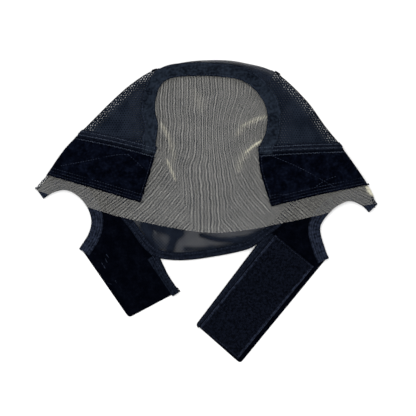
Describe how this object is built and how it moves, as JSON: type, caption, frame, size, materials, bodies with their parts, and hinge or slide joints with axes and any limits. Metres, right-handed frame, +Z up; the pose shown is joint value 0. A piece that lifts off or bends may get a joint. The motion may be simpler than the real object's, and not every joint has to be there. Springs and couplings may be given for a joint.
{
  "type": "wig cap",
  "caption": "Lace-front wig cap lying flat, front side up, with velvet grips, ear notches, a sheer back and adjustable hook-and-loop nape straps.",
  "frame": {"origin": "on the table under the middle of the cap's outline as it lies", "axes": "+Z up off the table, +Y towards the crown fold, +X to the right of the front as it lies face up"},
  "size_m": [0.2946, 0.2596, 0.0258],
  "materials": {
    "lace": "sheer woven lace",
    "net": "matt stretch net",
    "band": "matt doubled knit",
    "sheer": "sheer mesh",
    "velvet": "pile",
    "tape": "ribbed knit tape",
    "hook": "hook tape"
  },
  "bodies": {
    "root": {"lace_panel": "lace", "crown_band": "band", "back_panel": "sheer", "nape_binding": "tape", "hook_patch": "hook", "side_mesh_left": "net", "temple_seam_left": "tape", "temple_grip_left": "velvet", "ear_binding_left": "tape", "strap_left": "velvet", "strap_trim_left": "tape", "side_mesh_right": "net", "temple_seam_right": "tape", "temple_grip_right": "velvet", "ear_binding_right": "tape", "strap_right": "velvet", "strap_trim_right": "tape"}
  },
  "joints": []
}
